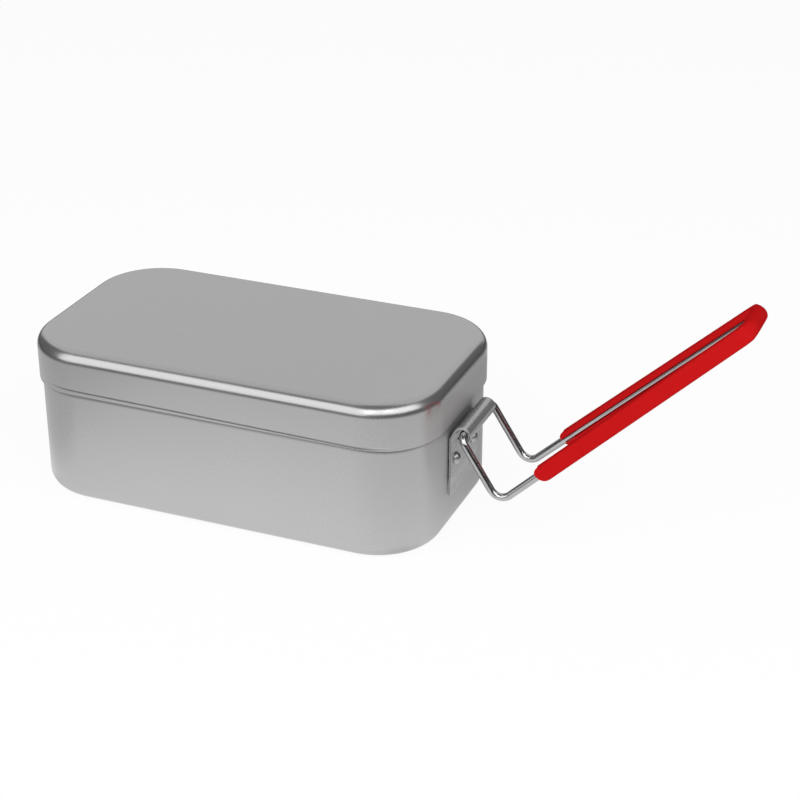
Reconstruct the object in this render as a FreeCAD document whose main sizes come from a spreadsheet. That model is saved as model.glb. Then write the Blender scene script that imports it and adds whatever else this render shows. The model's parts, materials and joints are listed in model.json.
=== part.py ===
import FreeCAD, Part
import math
import os
import Sketcher

# Aluminium mess tin: a drawn pan, a slip-over lid and a folding wire handle hinged on one end.
# Millimetres, +Z up, origin at the middle of the underside, +X towards the hinge end.

SIZES = [
    # pan and lid
    ("box_length", 170.0, "closed tin, outside of the lid, along X"),
    ("box_width", 95.0, "closed tin, outside of the lid, along Y"),
    ("box_height", 65.0, "closed tin, underside to top of the lid"),
    ("sheet_thickness", 0.7, "aluminium sheet of pan and lid"),
    ("lid_gap", 0.5, "room between skirt and pan wall"),
    ("lid_seat_gap", 0.1, "room between the pan's rim and the lid's rounded edge above it"),
    ("lid_corner_radius", 27.0, "corners of the lid seen from above"),
    ("lid_edge_radius", 5.0, "rounding from lid top to skirt"),
    ("lid_skirt", 18.1, "height of the skirt, top to rim"),
    ("press_depth", 0.35, "inward press along the rim of the lid's long sides"),
    ("press_height", 2.2, "height of that pressed strip"),
    ("pan_edge_radius", 6.0, "rounding from pan wall to underside"),
    # hinge bracket
    ("bracket_sheet", 1.2, "steel strip"),
    ("bracket_foot", 15.5, "height of the strip's lower edge"),
    ("bracket_foot_flat", 4.0, "stretch at the foot that lies on the wall"),
    ("bracket_standoff", 0.4, "gap between plate and wall above the foot"),
    ("bracket_step", 5.5, "height over which the strip steps out"),
    ("bracket_corner", 2.0, "rounding of the lower corners"),
    ("bracket_bend", 39.6, "height at which the strip turns outwards"),
    ("bracket_bend_radius", 2.0, "middle line of that turn"),
    ("bracket_lip", 2.1, "how far the roll's edge tucks back under the wire"),
    # hinge
    ("hinge_out", 6.06, "pan wall to hinge axis"),
    ("hinge_height", 43.17, "height of the hinge axis"),
    ("pin_clearance", 0.75, "radial room of the wire inside the roll"),
    ("pin_lean", 0.56, "how far the wire sits out from the middle of the roll"),
    ("pin_lift", 0.42, "how far it sits above the middle of the roll"),
    # rivets
    ("rivet_pitch", 18.7, "rivet to rivet"),
    ("rivet_height", 30.4, "height of the rivets"),
    ("rivet_shank", 3.0, "shank diameter"),
    ("rivet_hole_gap", 0.05, "radial room of the shank in its holes"),
    ("rivet_head", 5.0, "outer head diameter"),
    ("rivet_head_rise", 2.0, "height of the outer head's dome"),
    ("rivet_shoulder", 5.0, "collar that fills the gap behind the plate, diameter"),
    ("rivet_tail", 6.0, "flattened tail inside the pan, diameter"),
    ("rivet_tail_rise", 0.8, "height of the tail"),
    # bail
    ("wire_diameter", 3.0, "steel wire"),
    ("bail_width", 33.6, "leg to leg, middle of the wire"),
    ("bail_side_gap", 1.3, "room between a leg and the bracket's edge"),
    ("bail_tip_width", 18.7, "width of the closed end, middle of the wire"),
    ("bail_reach", 120.6, "lower corner to closed end, along the grip"),
    ("leg_length", 29.0, "hinge axis to lower corner"),
    ("leg_drop", 57.26, "angle of the legs below level"),
    ("grip_rise", 43.5, "angle of the grip above level"),
    ("pin_space", 6.0, "space between the two turned-in ends"),
    ("pin_bend_radius", 3.2, "turn from pin to leg, middle of the wire"),
    ("leg_bend_radius", 4.7, "turn at the lower corner, middle of the wire"),
    ("tip_bend_radius", 4.5, "corners of the closed end, middle of the wire"),
    # grip sleeve
    ("grip_height", 6.45, "height of the moulding"),
    ("grip_sink", 0.13, "how far its middle sits below the middle of the wire"),
    ("grip_start", 20.6, "lower corner to the ends of the moulding"),
    ("grip_bore_gap", 0.05, "radial room round the wire"),
    ("grip_wall", 1.1, "wall outside the bore"),
    ("grip_inner", 2.0, "middle of the wire to the inner face"),
    ("grip_slot", 2.2, "clip-on slot in the inner face"),
    ("grip_edge_radius", 1.0, "rounding of the long edges"),
]

doc = FreeCAD.newDocument("mess_tin")
sheet = doc.addObject("Spreadsheet::Sheet", "Sizes")
for row, (alias, amount, meaning) in enumerate(SIZES, start=1):
    sheet.set(f"A{row}", meaning)
    sheet.set(f"B{row}", str(amount))
    sheet.setAlias(f"B{row}", alias)
doc.recompute()

# Sizes and places that follow from the driving dimensions.
SIDE_STEP = "(Sizes.sheet_thickness + Sizes.lid_gap)"
PAN_LENGTH = f"(Sizes.box_length - 2 * {SIDE_STEP})"
PAN_WIDTH = f"(Sizes.box_width - 2 * {SIDE_STEP})"
PAN_CORNER = f"(Sizes.lid_corner_radius - {SIDE_STEP})"
LID_INNER_ROUND = "(Sizes.lid_edge_radius - Sizes.sheet_thickness)"
SEAT_RISE = f"sqrt({LID_INNER_ROUND} ^ 2 - ({LID_INNER_ROUND} - Sizes.lid_gap) ^ 2)"
PAN_RIM = f"(Sizes.box_height - Sizes.lid_edge_radius + {SEAT_RISE} - Sizes.lid_seat_gap)"
LID_RIM = "(Sizes.box_height - Sizes.lid_skirt)"
WALL = f"({PAN_LENGTH} / 2)"
HINGE_X = f"({WALL} + Sizes.hinge_out)"
HINGE_Z = "Sizes.hinge_height"
WIRE_RADIUS = "(Sizes.wire_diameter / 2)"
ROLL_BORE = f"({WIRE_RADIUS} + Sizes.pin_clearance)"
BRACKET_HALF = f"(Sizes.bail_width / 2 - {WIRE_RADIUS} - Sizes.bail_side_gap)"
CORNER_X = f"({HINGE_X} + Sizes.leg_length * cos(Sizes.leg_drop))"
CORNER_Z = "(Sizes.hinge_height - Sizes.leg_length * sin(Sizes.leg_drop))"
GRIP_BORE = f"({WIRE_RADIUS} + Sizes.grip_bore_gap)"
GRIP_TOP = "(Sizes.grip_height / 2 - Sizes.grip_sink)"
GRIP_FOOT = "(-Sizes.grip_height / 2 - Sizes.grip_sink)"
RIVET_HOLE = "(Sizes.rivet_shank / 2 + Sizes.rivet_hole_gap)"

TOLERANCE = 1e-6


def number(expression):
    """Value of an expression on the sheet."""
    return float(sheet.evalExpression(expression.replace("Sizes.", "")))


def new_body(label):
    """Empty body that becomes the sub-part of that name."""
    body = doc.addObject("PartDesign::Body", label)
    body.Label = label
    return body


def new_sketch(body, name, role, height=None):
    """Sketch on one of the body's origin planes, raised along the plane's normal."""
    planes = {feature.Role: feature for feature in body.Origin.OriginFeatures}
    sketch = body.newObject("Sketcher::SketchObject", name)
    sketch.AttachmentSupport = [(planes[role], "")]
    sketch.MapMode = "FlatFace"
    if height:
        sketch.setExpression("AttachmentOffset.Base.z", height)
    return sketch


def drive(sketch, kind, *where, by):
    """Dimension of the sketch that follows an expression."""
    index = sketch.addConstraint(Sketcher.Constraint(kind, *where, number(by)))
    sketch.setExpression(f"Constraints[{index}]", by)


def pin_down(sketch, geometry, point, x=None, y=None):
    """Ties a point of the sketch to its two coordinates, each an expression."""
    for kind, axis, place in (("DistanceX", -2, x), ("DistanceY", -1, y)):
        if place is None:
            continue
        if abs(number(place)) < TOLERANCE:
            sketch.addConstraint(Sketcher.Constraint("PointOnObject", geometry, point, axis))
        elif number(place) > 0:
            drive(sketch, kind, -1, 1, geometry, point, by=place)
        else:
            drive(sketch, kind, geometry, point, -1, 1, by=f"-({place})")


def point_at(x, y):
    """Sketch point from two expressions."""
    return FreeCAD.Vector(number(x), number(y), 0)


def arc_at(centre, radius, start, end):
    """Arc in the sketch plane, anticlockwise from start to end, in degrees."""
    circle = Part.Circle(centre, FreeCAD.Vector(0, 0, 1), radius)
    return Part.ArcOfCircle(circle, math.radians(start), math.radians(end))


def chain(sketch, corners, closed=True):
    """Straight runs through corners given as pairs of expressions."""
    ends = corners[1:] + corners[:1] if closed else corners[1:]
    runs = []
    for first, last in zip(corners, ends):
        line = Part.LineSegment(point_at(*first), point_at(*last))
        runs.append(sketch.addGeometry(line))
    for before, after in zip(runs, runs[1:] + runs[:1] if closed else runs[1:]):
        sketch.addConstraint(Sketcher.Constraint("Coincident", before, 2, after, 1))
    for run, corner in zip(runs, corners):
        pin_down(sketch, run, 1, *corner)
    if not closed:
        pin_down(sketch, runs[-1], 2, *corners[-1])
    return runs


def rectangle(sketch, left, right, bottom, top):
    """Sharp rectangle between four lines given as expressions."""
    chain(sketch, [(left, bottom), (right, bottom), (right, top), (left, top)])


def rounded_rectangle(sketch, left, right, bottom, top, radius):
    """Rectangle between four lines given as expressions, with equal round corners."""
    x0, x1, y0, y1, r = (number(size) for size in (left, right, bottom, top, radius))
    spans = [
        ((x0 + r, y0), (x1 - r, y0)),
        ((x1, y0 + r), (x1, y1 - r)),
        ((x1 - r, y1), (x0 + r, y1)),
        ((x0, y1 - r), (x0, y0 + r)),
    ]
    centres = [(x1 - r, y0 + r), (x1 - r, y1 - r), (x0 + r, y1 - r), (x0 + r, y0 + r)]
    sides = []
    rounds = []
    for quarter, (span, centre) in enumerate(zip(spans, centres)):
        ends = [FreeCAD.Vector(*end, 0) for end in span]
        sides.append(sketch.addGeometry(Part.LineSegment(*ends)))
        turn = 90 * (quarter - 1)
        rounds.append(sketch.addGeometry(arc_at(FreeCAD.Vector(*centre, 0), r, turn, turn + 90)))
    for quarter in range(4):
        following = sides[(quarter + 1) % 4]
        sketch.addConstraint(Sketcher.Constraint("Tangent", sides[quarter], 2, rounds[quarter], 1))
        sketch.addConstraint(Sketcher.Constraint("Tangent", rounds[quarter], 2, following, 1))
        level = "Horizontal" if quarter % 2 == 0 else "Vertical"
        sketch.addConstraint(Sketcher.Constraint(level, sides[quarter]))
    for corner in rounds[1:]:
        sketch.addConstraint(Sketcher.Constraint("Equal", rounds[0], corner))
    drive(sketch, "Radius", rounds[0], by=radius)
    pin_down(sketch, sides[0], 1, y=bottom)
    pin_down(sketch, sides[1], 1, x=right)
    pin_down(sketch, sides[2], 1, y=top)
    pin_down(sketch, sides[3], 1, x=left)


def names_of(kind, shapes, wanted):
    """Sub-element names, such as Edge3, of the shapes that pass a test."""
    return [f"{kind}{index}" for index, shape in enumerate(shapes, start=1) if wanted(shape)]


def add_pad(body, name, sketch, length):
    """Pad along the sketch's normal."""
    pad = body.newObject("PartDesign::Pad", name)
    pad.Profile = sketch
    pad.setExpression("Length", length)
    doc.recompute()
    return pad


def add_fillet(body, name, base, edges, radius):
    """Rounding of the named edges of the feature before it."""
    fillet = body.newObject("PartDesign::Fillet", name)
    fillet.Base = (base, edges)
    fillet.setExpression("Radius", radius)
    doc.recompute()
    return fillet


def add_shell(body, name, base, open_face):
    """Sheet-metal wall inside the drawn outside form, open at one face."""
    shell = body.newObject("PartDesign::Thickness", name)
    shell.Base = (base, open_face)
    shell.Reversed = True
    shell.setExpression("Value", "Sizes.sheet_thickness")
    doc.recompute()
    return shell


def add_pipe(body, name, kind, profile, spine):
    """Sweep of a profile sketch along the whole of a spine sketch."""
    doc.recompute()
    pipe = body.newObject(kind, name)
    pipe.Profile = profile
    pipe.Spine = (spine, [f"Edge{index + 1}" for index in range(len(spine.Shape.Edges))])
    doc.recompute()
    return pipe


def add_through_cut(body, name, sketch, both_ways=False):
    """Cut through all that lies on the sketch's front side, or on both sides."""
    before = body.Shape.Volume
    cut = body.newObject("PartDesign::Pocket", name)
    cut.Profile = sketch
    cut.Type = "ThroughAll"
    cut.Midplane = both_ways
    cut.Reversed = True
    doc.recompute()
    if cut.Shape.Volume > before - TOLERANCE:
        raise RuntimeError(f"{name} cuts nothing")
    return cut


def lies_at(height):
    """Test for faces and edges that lie flat at a height."""
    return lambda shape: max(abs(shape.BoundBox.ZMin - height), abs(shape.BoundBox.ZMax - height)) < 1e-4


def rivet_holes(body, name):
    """Pair of rivet holes through the wall or strip on the hinge end."""
    sketch = new_sketch(body, f"{name}Plan", "YZ_Plane")
    for side in ("-", ""):
        middle = f"({side}Sizes.rivet_pitch / 2)"
        circle = Part.Circle(
            point_at(middle, "Sizes.rivet_height"), FreeCAD.Vector(0, 0, 1), number(RIVET_HOLE)
        )
        hole = sketch.addGeometry(circle)
        drive(sketch, "Radius", hole, by=RIVET_HOLE)
        pin_down(sketch, hole, 3, middle, "Sizes.rivet_height")
    return add_through_cut(body, name, sketch)


def make_pan():
    """Drawn box with an open top, a rounded underside and two rivet holes."""
    body = new_body("pan")
    plan = new_sketch(body, "PanPlan", "XY_Plane")
    half_length = f"({PAN_LENGTH} / 2)"
    half_width = f"({PAN_WIDTH} / 2)"
    rounded_rectangle(plan, f"-{half_length}", half_length, f"-{half_width}", half_width, PAN_CORNER)
    block = add_pad(body, "PanBlock", plan, PAN_RIM)
    underside = names_of("Edge", block.Shape.Edges, lies_at(0))
    drawn = add_fillet(body, "PanUndersideRound", block, underside, "Sizes.pan_edge_radius")
    mouth = names_of("Face", drawn.Shape.Faces, lies_at(number(PAN_RIM)))
    add_shell(body, "PanWall", drawn, mouth)
    rivet_holes(body, "PanRivetHoles")
    return body


def make_lid():
    """Drawn cover whose skirt is pressed in a little along the rim of the long sides."""
    body = new_body("lid")
    plan = new_sketch(body, "LidPlan", "XY_Plane", LID_RIM)
    half_length = "(Sizes.box_length / 2)"
    half_width = "(Sizes.box_width / 2)"
    rounded_rectangle(
        plan, f"-{half_length}", half_length, f"-{half_width}", half_width, "Sizes.lid_corner_radius"
    )
    block = add_pad(body, "LidBlock", plan, "Sizes.lid_skirt")
    top_edges = names_of("Edge", block.Shape.Edges, lies_at(number("Sizes.box_height")))
    drawn = add_fillet(body, "LidTopRound", block, top_edges, "Sizes.lid_edge_radius")
    mouth = names_of("Face", drawn.Shape.Faces, lies_at(number(LID_RIM)))
    add_shell(body, "LidWall", drawn, mouth)

    straight_half = f"({half_length} - Sizes.lid_corner_radius)"
    inside = f"({half_width} - Sizes.sheet_thickness)"
    strips = {}
    for name, face in (("PressInside", inside), ("PressOutside", half_width)):
        strips[name] = new_sketch(body, f"{name}Plan", "XY_Plane", LID_RIM)
        pressed = f"({face} - Sizes.press_depth)"
        rectangle(strips[name], f"-{straight_half}", straight_half, pressed, face)
        rectangle(strips[name], f"-{straight_half}", straight_half, f"-{face}", f"-{pressed}")
    add_pad(body, "PressInside", strips["PressInside"], "Sizes.press_height")
    before = body.Shape.Volume
    hollow = body.newObject("PartDesign::Pocket", "PressOutside")
    hollow.Profile = strips["PressOutside"]
    hollow.Reversed = True
    hollow.setExpression("Length", "Sizes.press_height")
    doc.recompute()
    if hollow.Shape.Volume > before - TOLERANCE:
        raise RuntimeError("PressOutside cuts nothing")
    return body


def bracket_line(body):
    """Middle line of the bent strip: foot, step, plate, turn, slope and roll."""
    half_sheet = "Sizes.bracket_sheet / 2"
    foot_x = f"({WALL} + {half_sheet})"
    plate_x = f"({foot_x} + Sizes.bracket_standoff)"
    foot_top = "(Sizes.bracket_foot + Sizes.bracket_foot_flat)"
    step_top = f"({foot_top} + Sizes.bracket_step)"
    step_radius = (
        "((Sizes.bracket_step * Sizes.bracket_step + Sizes.bracket_standoff * Sizes.bracket_standoff)"
        " / (4 * Sizes.bracket_standoff))"
    )
    turn_x = f"({plate_x} + Sizes.bracket_bend_radius)"
    roll_x = f"({HINGE_X} - Sizes.pin_lean)"
    roll_z = f"({HINGE_Z} - Sizes.pin_lift)"
    roll_radius = f"({ROLL_BORE} + {half_sheet})"

    # The slope is the common tangent of the turn and the roll.
    across = number(roll_x) - number(turn_x)
    rise = number(roll_z) - number("Sizes.bracket_bend")
    widening = number(roll_radius) - number("Sizes.bracket_bend_radius")
    slope = math.degrees(math.atan2(rise, across) + math.asin(widening / math.hypot(across, rise)))
    lean = 2 * math.degrees(math.atan2(number("Sizes.bracket_standoff"), number("Sizes.bracket_step")))
    lip_turn = math.degrees(math.asin(number("Sizes.bracket_lip") / number(roll_radius)))

    line = new_sketch(body, "BracketLine", "XZ_Plane")
    foot = line.addGeometry(
        Part.LineSegment(point_at(foot_x, "Sizes.bracket_foot"), point_at(foot_x, foot_top))
    )
    step_out = line.addGeometry(
        arc_at(point_at(f"({foot_x} + {step_radius})", foot_top), number(step_radius), 180 - lean, 180)
    )
    step_up = line.addGeometry(
        arc_at(point_at(f"({plate_x} - {step_radius})", step_top), number(step_radius), -lean, 0)
    )
    plate = line.addGeometry(
        Part.LineSegment(point_at(plate_x, step_top), point_at(plate_x, "Sizes.bracket_bend"))
    )
    turn = line.addGeometry(
        arc_at(point_at(turn_x, "Sizes.bracket_bend"), number("Sizes.bracket_bend_radius"), 90 + slope, 180)
    )
    roll_shape = arc_at(point_at(roll_x, roll_z), number(roll_radius), -90 - lip_turn, 90 + slope)
    turn_end = line.Geometry[turn].StartPoint
    slope_run = line.addGeometry(Part.LineSegment(turn_end, roll_shape.EndPoint))
    roll = line.addGeometry(roll_shape)

    for first, first_end, second, second_end in (
        (foot, 2, step_out, 2),
        (step_out, 1, step_up, 1),
        (step_up, 2, plate, 1),
        (plate, 2, turn, 2),
        (turn, 1, slope_run, 1),
        (slope_run, 2, roll, 2),
    ):
        line.addConstraint(Sketcher.Constraint("Tangent", first, first_end, second, second_end))
    line.addConstraint(Sketcher.Constraint("Vertical", foot))
    line.addConstraint(Sketcher.Constraint("Vertical", plate))
    line.addConstraint(Sketcher.Constraint("Equal", step_out, step_up))
    drive(line, "Radius", step_out, by=step_radius)
    drive(line, "Radius", turn, by="Sizes.bracket_bend_radius")
    drive(line, "Radius", roll, by=roll_radius)
    pin_down(line, foot, 1, foot_x, "Sizes.bracket_foot")
    pin_down(line, foot, 2, y=foot_top)
    pin_down(line, plate, 1, x=plate_x)
    pin_down(line, plate, 2, y="Sizes.bracket_bend")
    pin_down(line, roll, 3, roll_x, roll_z)
    pin_down(line, roll, 1, x=f"({roll_x} - Sizes.bracket_lip)")
    return line


def make_bracket():
    """Strip of sheet steel riveted to the end wall, its top rolled over the hinge wire."""
    body = new_body("hinge_bracket")
    line = bracket_line(body)
    section = new_sketch(body, "BracketSection", "XY_Plane", "Sizes.bracket_foot")
    rectangle(section, WALL, f"({WALL} + Sizes.bracket_sheet)", f"-{BRACKET_HALF}", BRACKET_HALF)
    strip = add_pipe(body, "BracketStrip", "PartDesign::AdditivePipe", section, line)
    at_foot = lies_at(number("Sizes.bracket_foot"))
    corners = names_of(
        "Edge", strip.Shape.Edges, lambda edge: at_foot(edge) and edge.BoundBox.YLength < TOLERANCE * 100
    )
    add_fillet(body, "BracketCorners", strip, corners, "Sizes.bracket_corner")
    rivet_holes(body, "BracketRivetHoles")
    return body


def make_rivet(label, side):
    """Turned form of one rivet: tail, shank, collar, shank and domed head along X."""
    body = new_body(label)
    shank = "(Sizes.rivet_shank / 2)"
    collar = "(Sizes.rivet_shoulder / 2)"
    tail = "(Sizes.rivet_tail / 2)"
    head = "(Sizes.rivet_head / 2)"
    plate_front = "(Sizes.bracket_standoff + Sizes.bracket_sheet)"
    inside = "(-Sizes.sheet_thickness)"
    tail_end = "(-Sizes.sheet_thickness - Sizes.rivet_tail_rise)"
    dome_top = f"({plate_front} + Sizes.rivet_head_rise)"
    profile = new_sketch(body, f"{label}Profile", "XY_Plane")
    runs = chain(profile, [
        (dome_top, "0"),
        (tail_end, "0"),
        (tail_end, tail),
        (inside, tail),
        (inside, shank),
        ("0", shank),
        ("0", collar),
        ("Sizes.bracket_standoff", collar),
        ("Sizes.bracket_standoff", shank),
        (plate_front, shank),
        (plate_front, head),
    ], closed=False)
    rim = number(head)
    rise = number("Sizes.rivet_head_rise")
    dome_radius = (rim * rim + rise * rise) / (2 * rise)
    dome_centre = FreeCAD.Vector(number(dome_top) - dome_radius, 0, 0)
    spread = math.degrees(math.asin(rim / dome_radius))
    dome = profile.addGeometry(arc_at(dome_centre, dome_radius, 0, spread))
    profile.addConstraint(Sketcher.Constraint("Coincident", runs[-1], 2, dome, 2))
    profile.addConstraint(Sketcher.Constraint("Coincident", runs[0], 1, dome, 1))
    profile.addConstraint(Sketcher.Constraint("PointOnObject", dome, 3, -1))

    turned = body.newObject("PartDesign::Revolution", f"{label}Turned")
    turned.Profile = profile
    turned.ReferenceAxis = (profile, ["H_Axis"])
    turned.Angle = 360
    body.setExpression("Placement.Base.x", WALL)
    body.setExpression("Placement.Base.y", f"{side} * Sizes.rivet_pitch / 2")
    body.setExpression("Placement.Base.z", "Sizes.rivet_height")
    doc.recompute()
    return body


def rounded_path(corners, radii):
    """Wire of straight runs through the corners, each inner corner an arc of its radius."""
    edges = []
    start = corners[0]
    for before, corner, after, radius in zip(corners, corners[1:], corners[2:], radii):
        arriving = (corner - before).normalize()
        leaving = (after - corner).normalize()
        turn = arriving.getAngle(leaving)
        trim = radius * math.tan(turn / 2)
        first = corner - arriving * trim
        last = corner + leaving * trim
        inward = (leaving - arriving).normalize()
        middle = corner + inward * (radius / math.cos(turn / 2) - radius)
        edges.append(Part.LineSegment(start, first).toShape())
        edges.append(Part.Arc(first, middle, last).toShape())
        start = last
    edges.append(Part.LineSegment(start, corners[-1]).toShape())
    return Part.Wire(edges)


def make_bail():
    """Steel wire bent to a hairpin, its ends turned in towards each other as hinge pins."""
    rise = math.radians(number("Sizes.grip_rise"))
    lower = FreeCAD.Vector(number(CORNER_X), 0, number(CORNER_Z))
    tip = lower + FreeCAD.Vector(math.cos(rise), 0, math.sin(rise)) * number("Sizes.bail_reach")
    hinge = FreeCAD.Vector(number(HINGE_X), 0, number(HINGE_Z))
    places = [
        (hinge, number("Sizes.pin_space / 2")),
        (hinge, number("Sizes.bail_width / 2")),
        (lower, number("Sizes.bail_width / 2")),
        (tip, number("Sizes.bail_tip_width / 2")),
    ]
    front = [place - FreeCAD.Vector(0, out, 0) for place, out in places]
    rear = [place + FreeCAD.Vector(0, out, 0) for place, out in reversed(places)]
    turns = [number(f"Sizes.{name}_bend_radius") for name in ("pin", "leg", "tip")]

    path = doc.addObject("Part::Feature", "BailPath")
    path.Shape = rounded_path(front + rear, turns + turns[::-1])
    ring = doc.addObject("Part::Circle", "BailSection")
    ring.setExpression("Radius", WIRE_RADIUS)
    ring.Placement = FreeCAD.Placement(front[0], FreeCAD.Rotation(FreeCAD.Vector(1, 0, 0), 90))
    ring.setExpression("Placement.Base.x", HINGE_X)
    ring.setExpression("Placement.Base.y", "-Sizes.pin_space / 2")
    ring.setExpression("Placement.Base.z", HINGE_Z)
    wire = doc.addObject("Part::Sweep", "bail_wire")
    wire.Label = "bail_wire"
    wire.Sections = [ring]
    wire.Spine = (path, [f"Edge{index + 1}" for index in range(len(path.Shape.Edges))])
    wire.Solid = True
    wire.Frenet = False
    doc.recompute()
    return wire


def grip_line(body):
    """Front half of the hairpin in the grip's own plane: closed end, corner and arm."""
    reach = number("Sizes.bail_reach")
    half_tip = number("Sizes.bail_tip_width / 2")
    half_width = number("Sizes.bail_width / 2")
    start = number("Sizes.grip_start")
    radius = number("Sizes.tip_bend_radius")
    splay = math.atan2(half_width - half_tip, reach)
    trim = radius * math.tan((math.pi / 2 - splay) / 2)
    corner = FreeCAD.Vector(reach, -half_tip, 0)
    along_arm = FreeCAD.Vector(-math.cos(splay), -math.sin(splay), 0)
    arm_start = corner + along_arm * trim
    arm_end = corner + along_arm * ((reach - start) / math.cos(splay))
    cross_end = corner + FreeCAD.Vector(0, trim, 0)
    centre = cross_end - FreeCAD.Vector(radius, 0, 0)

    line = new_sketch(body, "GripLine", "XY_Plane")
    cross = line.addGeometry(Part.LineSegment(FreeCAD.Vector(reach, 0, 0), cross_end))
    bend = line.addGeometry(arc_at(centre, radius, math.degrees(splay) - 90, 0))
    arm = line.addGeometry(Part.LineSegment(arm_start, arm_end))
    line.addConstraint(Sketcher.Constraint("Tangent", cross, 2, bend, 2))
    line.addConstraint(Sketcher.Constraint("Tangent", bend, 1, arm, 1))
    line.addConstraint(Sketcher.Constraint("Vertical", cross))
    pin_down(line, cross, 1, "Sizes.bail_reach", "0")
    drive(line, "Radius", bend, by="Sizes.tip_bend_radius")
    arm_share = "(Sizes.grip_start / Sizes.bail_reach)"
    arm_spread = f"(Sizes.bail_width + (Sizes.bail_tip_width - Sizes.bail_width) * {arm_share})"
    pin_down(line, arm, 2, "Sizes.grip_start", f"(-{arm_spread} / 2)")
    sharp = line.addGeometry(Part.Point(corner), True)
    pin_down(line, sharp, 1, "Sizes.bail_reach", "(-Sizes.bail_tip_width / 2)")
    line.addConstraint(Sketcher.Constraint("PointOnObject", sharp, 1, arm))
    return line


def half_round(body, name, shoulder, beyond):
    """Cuts the moulding half-round, seen from the side, between its shoulder and a place beyond its end."""
    above = "Sizes.grip_height"
    plan = new_sketch(body, f"{name}Plan", "XZ_Plane")
    runs = chain(plan, [
        (shoulder, GRIP_TOP),
        (shoulder, above),
        (beyond, above),
        (beyond, f"-{above}"),
        (shoulder, f"-{above}"),
        (shoulder, GRIP_FOOT),
    ], closed=False)
    faces_back = number(beyond) < number(shoulder)
    start = 90 if faces_back else -90
    middle = point_at(shoulder, "-Sizes.grip_sink")
    nose = plan.addGeometry(arc_at(middle, number("Sizes.grip_height / 2"), start, start + 180))
    upper, lower = (1, 2) if faces_back else (2, 1)
    plan.addConstraint(Sketcher.Constraint("Coincident", runs[0], 1, nose, upper))
    plan.addConstraint(Sketcher.Constraint("Coincident", runs[-1], 2, nose, lower))
    pin_down(plan, nose, 3, x=shoulder)
    return add_through_cut(body, name, plan, both_ways=True)


def make_grip():
    """Moulded channel on the closed end of the hairpin, open towards the inside."""
    body = new_body("grip_sleeve")
    line = grip_line(body)
    reach = "Sizes.bail_reach"
    half_height = "(Sizes.grip_height / 2)"
    inner = f"({reach} - Sizes.grip_inner)"
    outer = f"({reach} + {GRIP_BORE} + Sizes.grip_wall)"

    section = new_sketch(body, "GripSection", "XZ_Plane")
    rounded_rectangle(section, inner, outer, GRIP_FOOT, GRIP_TOP, "Sizes.grip_edge_radius")
    channel = add_pipe(body, "GripBar", "PartDesign::AdditivePipe", section, line)

    bore_plan = new_sketch(body, "GripBorePlan", "XZ_Plane")
    ring = Part.Circle(point_at(reach, "0"), FreeCAD.Vector(0, 0, 1), number(GRIP_BORE))
    circle = bore_plan.addGeometry(ring)
    drive(bore_plan, "Radius", circle, by=GRIP_BORE)
    pin_down(bore_plan, circle, 3, reach, "0")
    bore = add_pipe(body, "GripBore", "PartDesign::SubtractivePipe", bore_plan, line)

    slot_plan = new_sketch(body, "GripSlotPlan", "XZ_Plane")
    half_slot = "(Sizes.grip_slot / 2)"
    beyond_inner = f"({inner} - Sizes.grip_wall)"
    rectangle(slot_plan, beyond_inner, reach, f"-{half_slot}", half_slot)
    slot = add_pipe(body, "GripSlot", "PartDesign::SubtractivePipe", slot_plan, line)

    whole = body.newObject("PartDesign::Mirrored", "GripBothArms")
    whole.Originals = [channel, bore, slot]
    planes = {feature.Role: feature for feature in body.Origin.OriginFeatures}
    whole.MirrorPlane = (planes["XZ_Plane"], [""])
    body.Tip = whole
    doc.recompute()

    half_round(body, "GripEnds", f"(Sizes.grip_start + {half_height})", "(Sizes.grip_start - Sizes.grip_height)")
    half_round(body, "GripTip", f"({outer} - {half_height})", f"({outer} + Sizes.grip_height)")

    body.Placement = FreeCAD.Placement(
        FreeCAD.Vector(), FreeCAD.Rotation(FreeCAD.Vector(0, -1, 0), number("Sizes.grip_rise"))
    )
    body.setExpression("Placement.Base.x", CORNER_X)
    body.setExpression("Placement.Base.z", CORNER_Z)
    body.setExpression("Placement.Rotation.Angle", "Sizes.grip_rise * 1 deg")
    doc.recompute()
    return body


sub_parts = [
    make_pan(),
    make_lid(),
    make_bracket(),
    make_rivet("rivet_front", -1),
    make_rivet("rivet_rear", 1),
    make_bail(),
    make_grip(),
]
doc.recompute()

for item in doc.Objects:
    if "Invalid" in item.State or "Error" in item.State:
        raise RuntimeError(f"{item.Label} failed: {item.State}")
os.makedirs("parts", exist_ok=True)
for sub_part in sub_parts:
    if sub_part.Shape.isNull() or not sub_part.Shape.isValid() or len(sub_part.Shape.Solids) != 1:
        raise RuntimeError(f"{sub_part.Label} is not one valid solid")
for sub_part in sub_parts:
    sub_part.Shape.exportStep(f"parts/{sub_part.Label}.step")
    box = sub_part.Shape.BoundBox
    reach = f"{box.XMin:.2f} {box.YMin:.2f} {box.ZMin:.2f} to {box.XMax:.2f} {box.YMax:.2f} {box.ZMax:.2f}"
    print(f"{sub_part.Label}: {sub_part.Shape.Volume:.1f} mm3, {reach}")
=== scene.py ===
"""Looks of an aluminium mess tin: drawn pan, slip-over lid, riveted hinge and folding wire handle."""

import json
import logging
import math
from abc import ABC, abstractmethod
from dataclasses import dataclass
from enum import Enum
from typing import Any, Iterable, Mapping, Sequence, Union

import bmesh
import bpy
from mathutils import Matrix, Vector


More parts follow.
